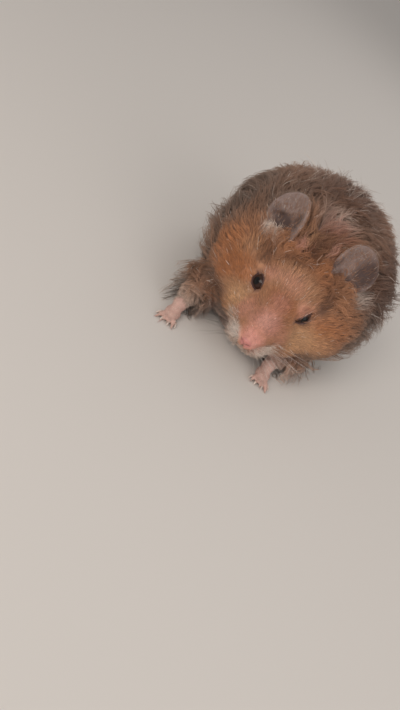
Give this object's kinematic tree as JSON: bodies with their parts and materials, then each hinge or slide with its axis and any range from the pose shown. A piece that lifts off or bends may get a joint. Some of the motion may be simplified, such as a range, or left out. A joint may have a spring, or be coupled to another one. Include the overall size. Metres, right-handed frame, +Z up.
{
  "type": "syrian hamster",
  "caption": "Long-haired golden syrian hamster, a still life-size model crouched on all fours with its head lowered and its tousled coat standing up behind the ears.",
  "frame": {"origin": "middle of the bottom of the bounding box, on the floor under the belly", "axes": "+Z up from the floor; the nose points along -Y and the rump along +Y; the hamster's own left is +X"},
  "size_m": [0.0834, 0.1094, 0.0591],
  "materials": {
    "coat": "long soft fur, cinnamon orange over slate-grey underfur",
    "ear_skin": "thin bare skin with short down, greyish mauve",
    "bare_skin": "soft pink bare skin with short pale hair",
    "eye": "wet glossy black",
    "claw": "translucent horn, satin",
    "whisker": "fine pale hair, satin"
  },
  "bodies": {
    "root": {"trunk": "coat", "neck": "coat", "head": "coat", "leg_front_left": "coat", "leg_front_right": "coat", "leg_hind_left": "coat", "leg_hind_right": "coat", "ear_left": "ear_skin", "ear_right": "ear_skin", "paw_front_left": "bare_skin", "paw_front_right": "bare_skin", "foot_hind_left": "bare_skin", "foot_hind_right": "bare_skin", "tail": "bare_skin", "eye_left": "eye", "eye_right": "eye"}
  },
  "joints": []
}
